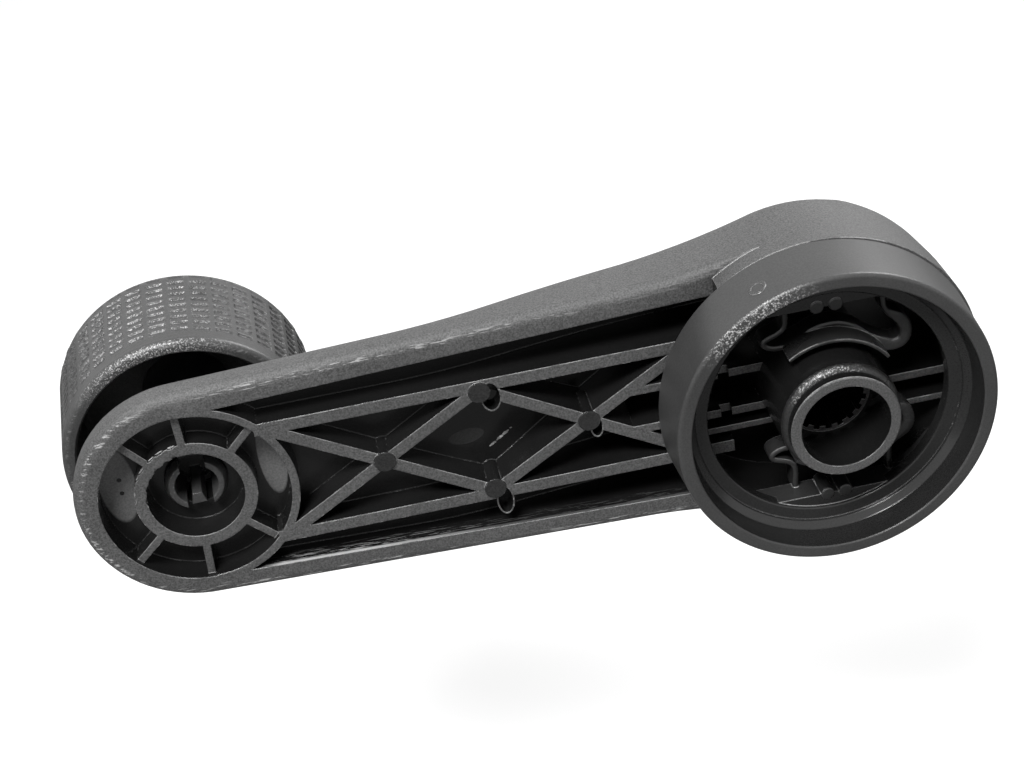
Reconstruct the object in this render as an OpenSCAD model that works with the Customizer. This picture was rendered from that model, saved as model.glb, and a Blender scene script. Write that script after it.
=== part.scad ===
// Crank handle: a ribbed hollow arm, a cup-shaped spinning knob and a sliding lock ring.
// Millimetres. X runs along the arm, Y along the shaft, Z across the arm.
// The origin is the centre of the hub bore's mouth. The knob sits at -X and faces +Y.
// Every part is drawn flat first: its Z is then the height above the arm's back edge,
// and place() turns that height into -Y.

/* [Arm] */
// Distance from the shaft axis to the knob axis
arm_len = 85; // [80:1:92]
// Outer radius of the arm's knob end
end_r = 16.1; // [15.6:0.1:16.8]
// Angle between each long wall and the arm's midline, degrees
wall_angle = 2; // [1.4:0.1:2.6]
// Thickness of the arm's side wall
wall_t = 3.3; // [2.7:0.1:3.5]
// Radius of the concave sweep between the side wall and the hub
blend_r = 82; // [60:1:100]
// Thickness of the front shell
shell_t = 2; // [1.4:0.1:2.6]
// Depth of the arm at the knob end
end_depth = 6; // [5.6:0.1:7]
// Distance from the shaft axis at which the front starts to deepen
sweep_len = 57; // [50:1:62]
// Share of the sweep that is hollow, the rest being domed
sweep_share = 0.26; // [0.15:0.01:0.45]

/* [Hub] */
// Outer radius of the hub
hub_r = 22; // [21.4:0.1:23]
// Thickness of the hub's side wall
hub_wall_t = 2; // [1.6:0.1:2.6]
// Depth of the arm at the shaft axis
hub_depth = 11.6; // [10.6:0.1:13.5]
// Slope of the hub's end wall, degrees
end_slope = 5.5; // [3:0.5:6]
// Height of the hub's rim above the arm's back edge
rim_h = 3; // [2.6:0.1:3.4]
// Distance from the shaft axis at which the rim starts on the arm side
rim_start = 13; // [11:0.5:15]

/* [Boss] */
// Radius of the smooth bore at the mouth
bore_r = 6; // [5.6:0.1:6.2]
// Length of the smooth bore
bore_len = 8.7; // [6:0.1:10]
// Height of the boss above the arm's back edge
boss_h = 13.7; // [13:0.1:15]
// Wall thickness of the boss
boss_t = 2.05; // [1.85:0.05:2.3]
// Wall thickness of the collar at the boss's end
collar_t = 1.4; // [1.1:0.1:1.6]
// Height of that collar
collar_h = 1.5; // [1:0.1:2.2]
// Step from the smooth bore in to the root of the shaft socket's teeth
spline_step = 0.4; // [0.2:0.05:0.5]
// Height of the shaft socket's teeth
spline_h = 0.5; // [0.3:0.05:0.8]
// Number of teeth in the shaft socket
spline_count = 20; // [16:1:24]
// Depth of the shaft socket beyond the smooth bore
socket_len = 12; // [8:0.5:13]

/* [Ribs] */
// Distance of each long rib's middle from the arm's midline
long_rib_z = 8.6; // [8:0.1:9.2]
// Thickness of the long ribs
long_rib_t = 1.8; // [1.2:0.1:2]
// Thickness of the crossed ribs
cross_t = 1.7; // [1.2:0.1:1.9]
// Distance from the knob axis to the lattice's end
cross_end = 11.5; // [11:0.5:13]
// Distance from the shaft axis to the crossing nearest the hub
cross_start = 31.5; // [30:0.5:33]
// Radius of the round posts at the crossings
post_r = 1.5; // [1.1:0.1:1.8]
// Height of the round posts above the ribs
post_h = 0.2; // [0.1:0.05:0.4]
// Distance of the two shaft ribs' middles from the arm's midline
shaft_rib_z = 3.05; // [2.6:0.05:3.6]
// Thickness of the shaft ribs
shaft_rib_t = 1.2; // [0.9:0.1:1.5]
// Thickness of the two thin ribs beside the shaft ribs
thin_rib_t = 0.9; // [0.7:0.1:1.1]
// Distance of the thin rib on the knob side from the midline
thin_rib_in_z = 5.7; // [5.3:0.1:6.2]
// Distance of the thin rib on the far side from the midline
thin_rib_out_z = 7.3; // [6.6:0.1:7.6]
// Length of the notch in each shaft rib
notch_len = 1.5; // [1:0.1:2]
// Depth of that notch
notch_depth = 1.2; // [0.6:0.1:2]
// Distance of the notches from the shaft axis
notch_x = 12.7; // [11.5:0.1:14]

/* [Knob bearing] */
// Wall thickness of the bearing tube in the arm
tube_t = 1.7; // [1.3:0.1:2]
// Radius of the tube's counterbore
tube_in_r = 6.5; // [6:0.1:6.8]
// Depth of the tube's edge below the arm's back edge
tube_drop = 0.9; // [0.5:0.1:1.4]
// Distance from the arm's front up to the shoulder inside the tube
shoulder_t = 0.8; // [0.6:0.1:1.2]
// Length of the bearing hole behind the shoulder
journal_len = 5.8; // [5:0.1:6.4]
// Lean of the bearing and the knob away from the hub, degrees
knob_lean = 2.6; // [0:0.2:3]
// Radius of the knob's stem
stem_r = 3.7; // [3.4:0.1:4]
// Gap around the stem in its hole
stem_play = 0.05; // [0.03:0.01:0.09]
// Radial thickness of the circular rib round the bearing
ring_rib_t = 1.1; // [0.8:0.1:1.5]
// Thickness of the six spokes round the bearing
spoke_t = 1.05; // [0.8:0.05:1.4]

/* [Knob] */
// Largest radius of the knob
knob_r = 18.2; // [17.6:0.1:19]
// How much narrower the knob is at its open lip
knob_flare = 0.5; // [0.2:0.1:0.8]
// Thickness of the cup's wall
knob_wall_t = 2; // [1.6:0.1:2.6]
// Gap between the arm's front and the knob's lip
knob_gap = 5.8; // [5.2:0.1:6.6]
// Length of the knob from lip to front face
knob_len = 20.7; // [18:0.1:24]
// Thickness of the cup's end
knob_end_t = 2.4; // [1.8:0.1:3]
// Radius of the knob's front corner
knob_corner_r = 2.5; // [1.8:0.1:3.2]
// Wall thickness of the knob's inner tube
core_t = 2.7; // [2.1:0.1:3.3]
// Width of the slot that splits the stem
slot_w = 3.5; // [2.6:0.1:3.8]
// Wall thickness of the split stem
stem_t = 0.8; // [0.7:0.05:1]
// How far each hook stands out from the stem
hook_t = 0.6; // [0.4:0.05:0.8]
// Length of the hooks
hook_len = 1.4; // [1.2:0.1:1.6]
// Clearance between the hooks and the shoulder
hook_play = 0.45; // [0.35:0.05:0.6]
// Gap between the bearing tube's end and the knob's inner tube
core_gap = 0.6; // [0.5:0.05:0.8]

/* [Lock ring] */
// How far the ring's base stands out beyond the hub
ring_step = 0.1; // [0:0.05:0.3]
// How much narrower the ring is at its outer edge than at its base
ring_draft = 0.6; // [0.3:0.05:0.9]
// Height of the ring
ring_h = 9.1; // [8.8:0.1:10]
// Thickness of the ring's side wall
ring_t = 1.8; // [1.4:0.1:2]
// Width of the ring's flat lip
ring_lip_w = 1.85; // [1.5:0.05:2.1]
// Depth of the steep wall inside the flat lip
well_depth = 3.8; // [3.2:0.1:4.2]
// How much narrower the steep wall is at its foot
well_draft = 0.45; // [0.2:0.05:0.7]
// Width from the flat lip to the hole
dish_w = 3.25; // [2.9:0.05:3.5]
// Depth of the hole's edge below the flat lip
dish_depth = 4.8; // [4.5:0.1:5.1]
// Height of the small step in the shelf round the hole
dish_step = 0.25; // [0.15:0.05:0.35]
// Length of the hole's wall
hole_wall_h = 2; // [1.7:0.1:2.3]
// Thickness of the leaf springs
leaf_t = 0.8; // [0.6:0.05:1]
// Thickness of the leaf springs' stout ends
lobe_t = 1.7; // [1.2:0.1:1.9]
// Height of the leaf springs
leaf_h = 3; // [2.4:0.1:3.4]
// Height of the leaf springs' edge above the hub's rim
leaf_rise = 1.5; // [1.3:0.05:1.8]
// Thickness of the upright walls that the springs hold against the boss
jaw_t = 0.5; // [0.4:0.05:0.6]
// Height of those walls above the leaf springs' edge
jaw_rise = 3.5; // [3:0.1:4]
// How far the springs' straight roots reach in from the hole's edge
root_in = 1.9; // [1.5:0.1:2.3]
// Drop from the hole's edge to the roots' faces
root_drop = 0.4; // [0.2:0.1:0.7]
// Radius of the stubs on the roots
stub_r = 0.95; // [0.7:0.05:1.1]

/* [Movement] */
// Gap between the hub's rim and the ring
ring_gap = 0.3; // [0.25:0.05:0.5]
// Offset of the resting ring towards the knob
ring_rest = 0.5; // [0.3:0.05:0.6]
// Travel of the ring towards the knob
ring_travel = 1.2; // [0.6:0.1:1.2]
// Gap between the webs of the springs and the boss, at both ends of the travel
jaw_gap = 0.35; // [0.3:0.01:0.4]
// Gap between the upright walls and the boss while the ring rests
wall_gap = 1.25; // [1.25:0.05:1.4]

/* [Hidden] */
$fn = 72;
plastic = [0.13, 0.13, 0.13];
lap = 1;
// Tangent curves of the plan overlap by this much, so that they cross cleanly
bite = 0.01;
boss_r = bore_r + boss_t;
collar_r = bore_r + collar_t;
spline_root_r = bore_r - spline_step;
spline_tip_r = spline_root_r - spline_h;
tube_r = tube_in_r + tube_t;
shoulder_depth = end_depth - shoulder_t;
lip_r = knob_r - knob_flare;
core_r = stem_r + core_t;
ring_r = hub_r + ring_step;
ring_top_r = ring_r - ring_draft;
ring_lip_r = ring_top_r - ring_lip_w;
ring_hole_r = ring_lip_r - dish_w;
root_z = ring_hole_r - root_in;
leaf_top = rim_h + leaf_rise;
ring_base = rim_h + ring_gap;
end_in_r = end_r - wall_t;
hub_in_r = hub_r - hub_wall_t;
// How much the leaning round at the hub's end is wider than the hub
trim_shift = 0.4;
knob_top = -end_depth - knob_gap;
journal_end = shoulder_depth + journal_len;
// Foot of the concave sweep on the wall and on the hub, and its centre
wall_d = end_r + arm_len * sin(wall_angle);
blend_s = -sqrt(pow(hub_r + blend_r, 2) - pow(wall_d + blend_r, 2));
along = [cos(wall_angle), sin(wall_angle)];
across = [-sin(wall_angle), cos(wall_angle)];
blend_mid = blend_s * along + (wall_d + blend_r) * across;
blend_foot = blend_mid - blend_r * across;
blend_head = blend_mid * hub_r / (hub_r + blend_r);
// Radii of the front's double sweep
sweep_drop = hub_depth - end_depth;
sweep_sum = (sweep_len * sweep_len + sweep_drop * sweep_drop) / (2 * sweep_drop);
hollow_r = sweep_sum * sweep_share;
dome_r = sweep_sum - hollow_r;
turn_x = -sweep_len * (1 - sweep_share);
turn_depth = end_depth + sweep_drop * sweep_share;
// Crossing points of the lattice, from the hub outwards
cross_pitch = (arm_len - cross_start - cross_end) / 1.5;
crossings = [-cross_start, -cross_start - cross_pitch];
// Directions of the spokes round the knob bearing, degrees
spokes = [44, 91, 130, 222, 267, 316];
// Middle lines of one leaf spring, from its root on the knob side to its stout end and back.
// A point is [shares of the boss's radius along X, shares of the way from boss to root along Z].
leaf_in = [[-0.55, 1.05], [-0.56, 0.43], [-0.93, 0.18], [-0.86, 0.04], [-0.63, -0.02],
    [-0.32, 0.07], [-0.09, 0.26], [0.3, 0.3], [0.61, 0.13], [0.88, -0.16], [1.08, -0.38]];
lobe = [[1.06, -0.35], [1.23, -0.47], [1.42, -0.4], [1.48, -0.16], [1.39, 0.1]];
leaf_out = [[1.39, 0.13], [1.13, 0.4], [1.11, 1.05]];
jaw = [[0, -0.63], [1.11, -0.63]];
// Ends of the upright walls along X, in shares of the boss's radius
jaw_ends = [-0.66, 0.94];

// Leans what is drawn about the shaft axis over the knob's bearing
module lean() {
    translate([-arm_len, 0, -shoulder_depth])
        rotate([0, knob_lean, 0])
            translate([0, 0, shoulder_depth])
                children();
}

// Turns a flat drawn part so that its height above the back edge points to -Y
module place() {
    translate([0, boss_h, 0])
        rotate([90, 0, 0])
            children();
}

// A straight bar between two points of the plan
module bar(a, b, w) {
    d = b - a;
    translate(a)
        rotate(atan2(d[1], d[0]))
            translate([0, -w / 2])
                square([norm(d), w]);
}

// A band of constant width along a row of points, with round bends a little wider
module band(points, w) {
    for (i = [0:len(points) - 2])
        bar(points[i], points[i + 1], w);
    for (p = points)
        translate(p)
            circle(d = 1.05 * w);
}

// Plan of a knob end of radius r with the two walls that leave it for the hub
module end_plan(r) {
    reach = (r - bite + arm_len * sin(wall_angle)) / cos(wall_angle);
    foot = [-arm_len, 0] + (r - bite) * across;
    translate([-arm_len, 0])
        circle(r);
    polygon([[foot[0], -foot[1]], [0, -reach], [0, reach], foot]);
}

// Plan of the arm's outside
module outer_plan() {
    foot = [-arm_len, 0] + (end_r - bite) * across;
    half = [foot, blend_foot, blend_head];
    difference() {
        polygon(concat([for (p = half) [p[0], -p[1]]], [for (i = [2:-1:0]) half[i]]));
        for (side = [0, 1])
            mirror([0, side])
                translate(blend_mid)
                    circle(blend_r + bite, $fn = 180);
    }
    translate([-arm_len, 0])
        circle(end_r);
    circle(hub_r);
}

// Plan of the arm's hollow
module inner_plan() {
    end_plan(end_in_r);
    circle(hub_in_r);
}

// Side view of the arm: the back edge is straight, the front deepens to a dome over the hub
module side_view() {
    tail = arm_len + end_r + lap;
    translate([-tail, -end_depth])
        square([tail - sweep_len, end_depth]);
    difference() {
        translate([-sweep_len, -turn_depth])
            square([turn_x + sweep_len + lap, turn_depth]);
        translate([-sweep_len, -end_depth - hollow_r])
            circle(hollow_r, $fn = 360);
    }
    intersection() {
        translate([turn_x, -hub_depth])
            square([hub_r + lap - turn_x, hub_depth]);
        translate([0, -hub_depth + dome_r])
            circle(dome_r, $fn = 360);
    }
}

module side_prism() {
    rotate([90, 0, 0])
        linear_extrude(2 * (hub_r + lap), center = true)
            side_view();
}

// Everything on the arm side of the shaft axis, and a wider leaning round that trims the hub's end
module hub_end() {
    tail = arm_len + end_r + 2 * lap;
    half = hub_r + 2 * lap;
    translate([-tail, -half, -2 * hub_depth])
        cube([tail, 2 * half, 3 * hub_depth]);
    translate([-trim_shift, 0, 0])
        rotate([0, end_slope, 0])
            translate([0, 0, -2 * hub_depth])
                cylinder(r = hub_r + trim_shift + 0.1, h = 3 * hub_depth);
}

// The arm's outer form, solid
module arm_block() {
    intersection() {
        translate([0, 0, -hub_depth - lap])
            linear_extrude(hub_depth + lap)
                outer_plan();
        side_prism();
        hub_end();
    }
}

// The space inside the wall and behind the front shell
module arm_hollow() {
    intersection() {
        translate([0, 0, -hub_depth])
            linear_extrude(hub_depth + rim_h + lap)
                inner_plan();
        union() {
            translate([0, 0, shell_t])
                side_prism();
            translate([-arm_len - end_r, -hub_r, -lap])
                cube([arm_len + end_r + hub_r, 2 * hub_r, rim_h + 2 * lap]);
        }
    }
}

// Long, crossed and shaft ribs in plan
module rib_plan() {
    start = -arm_len + sqrt(pow(end_in_r, 2) - pow(long_rib_z, 2));
    branch = -cross_start + cross_pitch / 2 * shaft_rib_z / long_rib_z;
    for (s = [-1, 1]) {
        bar([start, s * long_rib_z], [-hub_in_r * 0.6, s * long_rib_z], long_rib_t);
        for (x = crossings) {
            bar([x, 0], [x - cross_pitch / 2, s * (long_rib_z - 0.5)], cross_t);
            bar([x, 0], [x + cross_pitch / 2, s * (long_rib_z - 0.5)], cross_t);
        }
        bar([branch, s * shaft_rib_z], [0, s * shaft_rib_z], shaft_rib_t);
    }
    bar([0, -shaft_rib_z], [hub_r - lap, -shaft_rib_z], shaft_rib_t);
    bar([0, -thin_rib_out_z], [hub_r - 2 * lap, -thin_rib_out_z], thin_rib_t);
    bar([-hub_in_r, -thin_rib_in_z], [0, -thin_rib_in_z], thin_rib_t);
    translate([-arm_len, 0])
        intersection() {
            difference() {
                circle(end_in_r + ring_rib_t - 0.1);
                circle(end_in_r - 0.1);
            }
            translate([0, -end_r])
                square([end_r, 2 * end_r]);
        }
}

// Spokes between the bearing tube and the circular rib
module spoke_plan() {
    translate([-arm_len, 0])
        for (a = spokes)
            rotate(a)
                bar([tube_in_r + 0.5, 0], [end_in_r + 0.4, 0], spoke_t);
}

// A pair of notches where the shaft ribs are cut down
module notches() {
    for (s = [-1, 1])
        translate([-notch_x - notch_len / 2, s * shaft_rib_z - shaft_rib_t, -notch_depth])
            cube([notch_len, 2 * shaft_rib_t, notch_depth + lap]);
}

// Round posts on the crossings
module posts() {
    mid = (crossings[0] + crossings[1]) / 2;
    spots = [[crossings[0], 0], [crossings[1], 0], [mid, long_rib_z - 0.9], [mid, 0.9 - long_rib_z]];
    for (p = spots)
        translate([p[0], p[1], -end_depth + lap / 2])
            cylinder(r = post_r, h = end_depth - lap / 2 + post_h);
}

// The upright wall of the hub under the lock ring
module hub_rim() {
    intersection() {
        translate([0, 0, -lap])
            difference() {
                cylinder(r = hub_r, h = rim_h + lap);
                translate([0, 0, -lap])
                    cylinder(r = hub_in_r, h = rim_h + 3 * lap);
            }
        translate([-rim_start, -hub_r - lap, -2 * lap])
            cube([rim_start + hub_r + lap, 2 * (hub_r + lap), rim_h + 3 * lap]);
    }
}

// The boss that takes the shaft
module boss() {
    rotate_extrude()
        polygon([[0, -hub_depth + shell_t / 2], [boss_r, -hub_depth + shell_t / 2],
            [boss_r, boss_h - collar_h - 0.8], [boss_r - 0.35, boss_h - collar_h - 0.15],
            [collar_r, boss_h - collar_h], [collar_r, boss_h - 0.15],
            [collar_r - 0.15, boss_h], [0, boss_h]]);
}

// The hole for the shaft: smooth at the mouth, toothed below
module shaft_hole() {
    translate([0, 0, boss_h - bore_len])
        cylinder(r = bore_r, h = bore_len + lap);
    translate([0, 0, boss_h - bore_len - socket_len])
        linear_extrude(socket_len + lap / 2) {
            circle(spline_tip_r);
            for (i = [0:spline_count - 1])
                rotate(i * 360 / spline_count)
                    translate([0, -0.4])
                        square([spline_root_r, 0.8]);
        }
}

module crank_arm() {
    color(plastic)
        place()
            difference() {
                union() {
                    difference() {
                        arm_block();
                        arm_hollow();
                    }
                    intersection() {
                        arm_block();
                        difference() {
                            translate([0, 0, -hub_depth - lap])
                                linear_extrude(hub_depth + lap)
                                    rib_plan();
                            notches();
                        }
                    }
                    translate([0, 0, -end_depth + shell_t / 2])
                        linear_extrude(end_depth - shell_t / 2 - tube_drop)
                            spoke_plan();
                    posts();
                    hub_rim();
                    boss();
                    translate([-arm_len, 0, -journal_end])
                        cylinder(r = tube_r, h = journal_end - tube_drop);
                }
                shaft_hole();
                translate([-arm_len, 0, -shoulder_depth])
                    cylinder(r = tube_in_r, h = shoulder_depth + lap);
                lean()
                    translate([0, 0, -journal_end - lap])
                        cylinder(r = stem_r + stem_play, h = journal_len + 2 * lap);
            }
}

// Section of the ring's shell: side wall, flat lip, steep well, stepped shelf and hole wall
module ring_section() {
    top = ring_base + ring_h;
    well = top - well_depth;
    dish = top - dish_depth;
    step_r = (ring_lip_r - well_draft + ring_hole_r) / 2 + 0.2;
    step = (well + dish - dish_step) / 2;
    inside_r = ring_r - ring_t;
    polygon([[ring_r, ring_base], [ring_top_r, top - 0.5], [ring_top_r - 0.5, top],
        [ring_lip_r, top], [ring_lip_r - well_draft, well + 0.2],
        [ring_lip_r - well_draft - 0.2, well], [step_r + 0.15, step + dish_step], [step_r, step],
        [ring_hole_r + 0.3, dish], [ring_hole_r, dish - 0.3],
        [ring_hole_r, dish - hole_wall_h], [ring_hole_r + 1.3, dish - hole_wall_h],
        [ring_hole_r + 1.5, dish - 1.5], [inside_r - 0.6, dish - 0.5], [inside_r, dish - 1.5],
        [inside_r, ring_base]]);
}

// One of the two roots: a straight-edged block across the ring, with two stubs
module spring_root() {
    foot = ring_base;
    head = ring_base + ring_h - dish_depth - root_drop;
    intersection() {
        translate([-hub_r, root_z, foot])
            cube([2 * hub_r, hub_r, head - foot]);
        translate([0, 0, foot - lap])
            cylinder(r = ring_r - ring_t + 0.3, h = head - foot + 2 * lap);
    }
    for (s = [-1, 1])
        translate([0.5 + 1.25 * s, root_z + 0.1, foot])
            cylinder(r = stub_r, h = head - foot);
}

// Places points given in shares of the boss's radius and of the way to the root
function on_leaf(points) = [for (p = points) [p[0] * boss_r, boss_r + p[1] * (root_z - boss_r)]];

// An upright wall round one side of the boss
module jaw_wall() {
    in_r = boss_r + wall_gap;
    translate([ring_rest, 0, leaf_top - leaf_h])
        linear_extrude(leaf_h + jaw_rise)
            intersection() {
                difference() {
                    circle(in_r + jaw_t);
                    circle(in_r);
                }
                translate([jaw_ends[0] * boss_r, boss_r / 2])
                    square([(jaw_ends[1] - jaw_ends[0]) * boss_r, boss_r]);
            }
}

// One leaf spring with the thin web that follows the boss
module leaf_spring() {
    jaw_r = boss_r + jaw_gap;
    arch = [for (i = [10:-1:5]) leaf_in[i]];
    translate([0, 0, leaf_top - leaf_h])
        linear_extrude(leaf_h) {
            band(on_leaf(leaf_in), leaf_t);
            band(on_leaf(lobe), lobe_t);
            band(on_leaf(leaf_out), leaf_t);
        }
    translate([0, 0, leaf_top - leaf_h])
        linear_extrude(leaf_h * 0.6)
            difference() {
                polygon(on_leaf(concat(jaw, arch)));
                translate([ring_rest, 0])
                    circle(jaw_r);
                translate([ring_rest + ring_travel, 0])
                    circle(jaw_r);
                translate([ring_rest, 0])
                    square([ring_travel, jaw_r]);
            }
}

module lock_ring() {
    color(plastic)
        place()
            translate([-ring_rest, 0, 0]) {
                rotate_extrude()
                    ring_section();
                for (side = [0, 1])
                    mirror([0, side, 0]) {
                        spring_root();
                        leaf_spring();
                        jaw_wall();
                    }
            }
}

// Section of the cup: flared wall, rounded front corner, flat end
module cup_section() {
    front = knob_top - knob_len;
    corner = [knob_r - knob_corner_r, front + knob_corner_r];
    difference() {
        union() {
            polygon([[0, front], [corner[0], front], corner, [knob_r, corner[1]],
                [lip_r, knob_top - 1.6], [lip_r, knob_top - 0.9], [0, knob_top - 0.9]]);
            translate(corner)
                circle(knob_corner_r);
            translate([lip_r - 1, knob_top - 1])
                circle(1);
            translate([0, knob_top - 1])
                square([lip_r - 1, 1]);
        }
        translate([-2 * knob_r, front - lap])
            square([2 * knob_r, knob_len + 2 * lap]);
        translate([0, front + knob_end_t])
            square([lip_r - knob_wall_t, knob_len + lap]);
    }
}

// Section of the inner tube and of the stem with its hooked tip
module stem_section() {
    front = knob_top - knob_len;
    foot = -journal_end - core_gap;
    tip = -shoulder_depth + hook_play;
    polygon([[0, front + knob_end_t / 2], [core_r, front + knob_end_t / 2],
        [core_r, foot], [stem_r, foot], [stem_r, tip],
        [stem_r + hook_t, tip], [stem_r + hook_t, tip + 0.3], [stem_r, tip + hook_len],
        [stem_r - stem_t, tip + hook_len], [stem_r - stem_t, -journal_end], [0, -journal_end]]);
}

module knob() {
    color(plastic)
        place()
            lean()
                difference() {
                    union() {
                        rotate_extrude()
                            cup_section();
                        rotate_extrude()
                            stem_section();
                    }
                    translate([-slot_w / 2, -core_r, -journal_end + lap])
                        cube([slot_w, 2 * core_r, journal_end]);
                }
}

crank_arm();
lock_ring();
knob();
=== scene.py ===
# Dresses the crank handle: moulded black plastic with pale wear on its edges, painted highlights and
# painted shade, a gripped knob and studio light.
# The imported model's frame has X along the arm, Y along the shaft and Z across the arm, in metres.
# Sizes are written in millimetres and turned into metres where vertices and materials are made.
import math
import random

import bmesh
import bpy
from mathutils import Matrix, Vector


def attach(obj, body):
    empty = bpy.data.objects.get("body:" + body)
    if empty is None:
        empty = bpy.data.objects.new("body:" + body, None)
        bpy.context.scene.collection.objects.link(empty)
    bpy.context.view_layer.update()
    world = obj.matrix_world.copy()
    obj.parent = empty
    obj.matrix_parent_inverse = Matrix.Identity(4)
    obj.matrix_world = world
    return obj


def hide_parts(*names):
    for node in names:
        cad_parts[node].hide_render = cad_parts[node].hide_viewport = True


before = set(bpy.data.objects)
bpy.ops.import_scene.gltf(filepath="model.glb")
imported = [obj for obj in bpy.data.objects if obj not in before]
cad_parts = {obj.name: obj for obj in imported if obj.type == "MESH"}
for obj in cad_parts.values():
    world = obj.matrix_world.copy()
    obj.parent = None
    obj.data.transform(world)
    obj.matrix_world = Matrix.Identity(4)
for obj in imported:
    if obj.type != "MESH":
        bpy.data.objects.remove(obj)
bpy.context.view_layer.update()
MM = 0.001
CHANCE = random.Random(7)
TURN = 2 * math.pi

# Steps of a full turn in round parts, and how far overlapping shapes reach into or past each other
HUB_STEPS = 96
CORE_STEPS = 72
RING_STEPS = 180
OVERLAP = 0.1

# Arm, in millimetres like all sizes up to the stage
ARM_LEN = 85.0
BACK_Y = 13.7
FRONT_ROUND = 3.3
BACK_ROUND = 1.6
LEAST_ROUND = 0.15
# The outer wall is what lies further than this from the arm's midline
WALL_REACH = 13.5
WALL_RIM_H = 2.0
HUB_STEP_R = 22.0
BOSS_R = 8.05
SHOULDER = 1.1
COLLAR_H = 1.5
POST_END_Y = 13.5
# Oval recesses beside the ribs' posts: centre x, centre z, half widths along x and z
RECESSES = [(-44.04, 6.63, 1.2, 2.1), (-30.56, -1.14, 0.74, 1.65), (-44.37, -10.03, 1.0, 2.15)]
RECESS_FOOT_Y = 16.6
RECESS_TOP_Y = 13.82
RECESS_RIM = 0.22
OVAL_STEPS = 28
# Bearing tube of the knob, chipped between two angles: each edge's radius and number of notches
TUBE_END_Y = 14.6
CHIPPED = (95, 180)
CHIPS = [(8.2, 7), (6.5, 6)]

# Painted light and shade on the arm's inside, each an oval: centre x, centre z, half widths, tone.
# The pocket patches are painted light where light falls on the pockets' floors, the dimples are
# painted shade in small pin dimples, and the floor spot is painted light reflected by the floor
PAINTED_POCKET_LIGHT = [(-95.2, 2.1, 2.6, 6.2, 0.14), (-74.3, 1.9, 1.9, 6.2, 0.14)]
PAINTED_DIMPLE_SHADE = [(-94.8, 2.8, 0.33, 0.33, 0.004), (-94.9, 0.7, 0.33, 0.33, 0.004)]
PAINTED_FLOOR_LIGHT = (-48.0, -1.5, 2.6, 1.2, 0.035)
# Bright streak of fine specks on the floor, between two (x, z) ends
BRIGHT_STREAK = [(-44.9, -4.0), (-41.8, -2.2)]
SPECKS = 10
# Scratch streaks inside the lower wall, brightened as a painted highlight of light from above:
# its place across the arm, where they come and go along it from the knob to the hub, and the
# heights above the back edge where the streaks and the painted edge line fade
SCRAPE_HIGHLIGHT_Z = (-12.0, -13.0)
SCRAPE_HIGHLIGHT_X = (-79, -76, -64, -46)
SCRAPE_HIGHLIGHT_H = (0.8, 2.8)
SCRAPE_HIGHLIGHT_LINE_H = (0.35, 0.6)

# Knob, along its own axis before it leans
KNOB_R = 18.2
LIP_R = 17.7
LIP_Y = 25.5
LIP_ROUND = 1.0
KNOB_FRONT_Y = 46.2
KNOB_END_T = 2.4
KNOB_WALL_T = 2.0
KNOB_BEVEL = 0.8
CORNER_R = 2.5
CORE_R = 6.4
CORE_Y = 25.3
STEM_R = 3.7
STEM_T = 0.8
STEM_TIP_Y = 17.05
HOOK_Y = 18.45
SLOT_FOOT_Y = 23.7
STEM_FLOOR_Y = 24.7
HOOK_T = 0.6
# Small block between the stem's prongs: its (x, z) outline and its height
CATCH = [(-86.2, -3.1), (-84.2, -3.1), (-84.6, -1.5), (-85.9, -1.5)]
CATCH_Y = 17.6
SLOT_W = 3.5
LEAN = math.radians(2.6)
PIVOT = Vector((-ARM_LEN, 18.9, 0))
GRIP_COLUMNS = 37
COLUMN_STEPS = 9
GRIP_BARS = 10
GRIP_DEPTH = 0.3
GRIP_START_Y = 27.9
GRIP_END_Y = 44.6
# Shares of a bar's room, round the knob and along it, that the bar takes, and its flanks' share
BAR_AROUND = (0.2, 0.8)
BAR_ALONG = (0.25, 0.8)
BAR_FLANK = 0.05

# Lock ring, at rest
RING_X = -0.5
RING_BASE_Y = 10.4
RING_TOP_Y = 1.3
RING_R = 22.1
RING_TOP_R = 21.5
RING_T = 1.8
RING_LIP_ROUND = 0.6
RING_LIP_IN_R = 19.65
WELL_R = 19.2
WELL_Y = 4.8
SHELF_TOP_R = 18.25
SHELF_TOP_Y = 5.55
SHELF_FOOT_R = 18.1
SHELF_FOOT_Y = 5.85
HOLE_R = 16.4
HOLE_Y = 6.1
HOLE_FOOT_Y = 8.1
HOLE_WALL_T = 1.4
HOLLOW_Y = 6.6
# Round ejector mark on the ring's side, and its section: across its line and out of the side
MARK_TURN = math.radians(113.5)
MARK_Y = 5.06
MARK_R = 1.02
MARK_SECTION = [(-0.25, -0.3), (-0.16, 0.08), (0.16, 0.08), (0.25, -0.3)]
ROOT_Z = 14.5
ROOT_Y = 6.5
STUB_R = 0.95
STUB_PROUD = 0.15
STUB_X = (-0.75, 1.75)
LEAF_T = 0.8
LOBE_T = 1.7
LEAF_SOFT = 0.32
LEAF_TOP_Y = 9.2
LEAF_FOOT_Y = 12.2
WEB_LEAST = 0.05
JAW_R = 8.4
JAW_WALL_R = 9.3
JAW_WALL_T = 0.5
JAW_WALL_Y = 5.7
JAW_WALL_X = (-5.3, 7.57)
TRAVEL = 1.2
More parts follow.
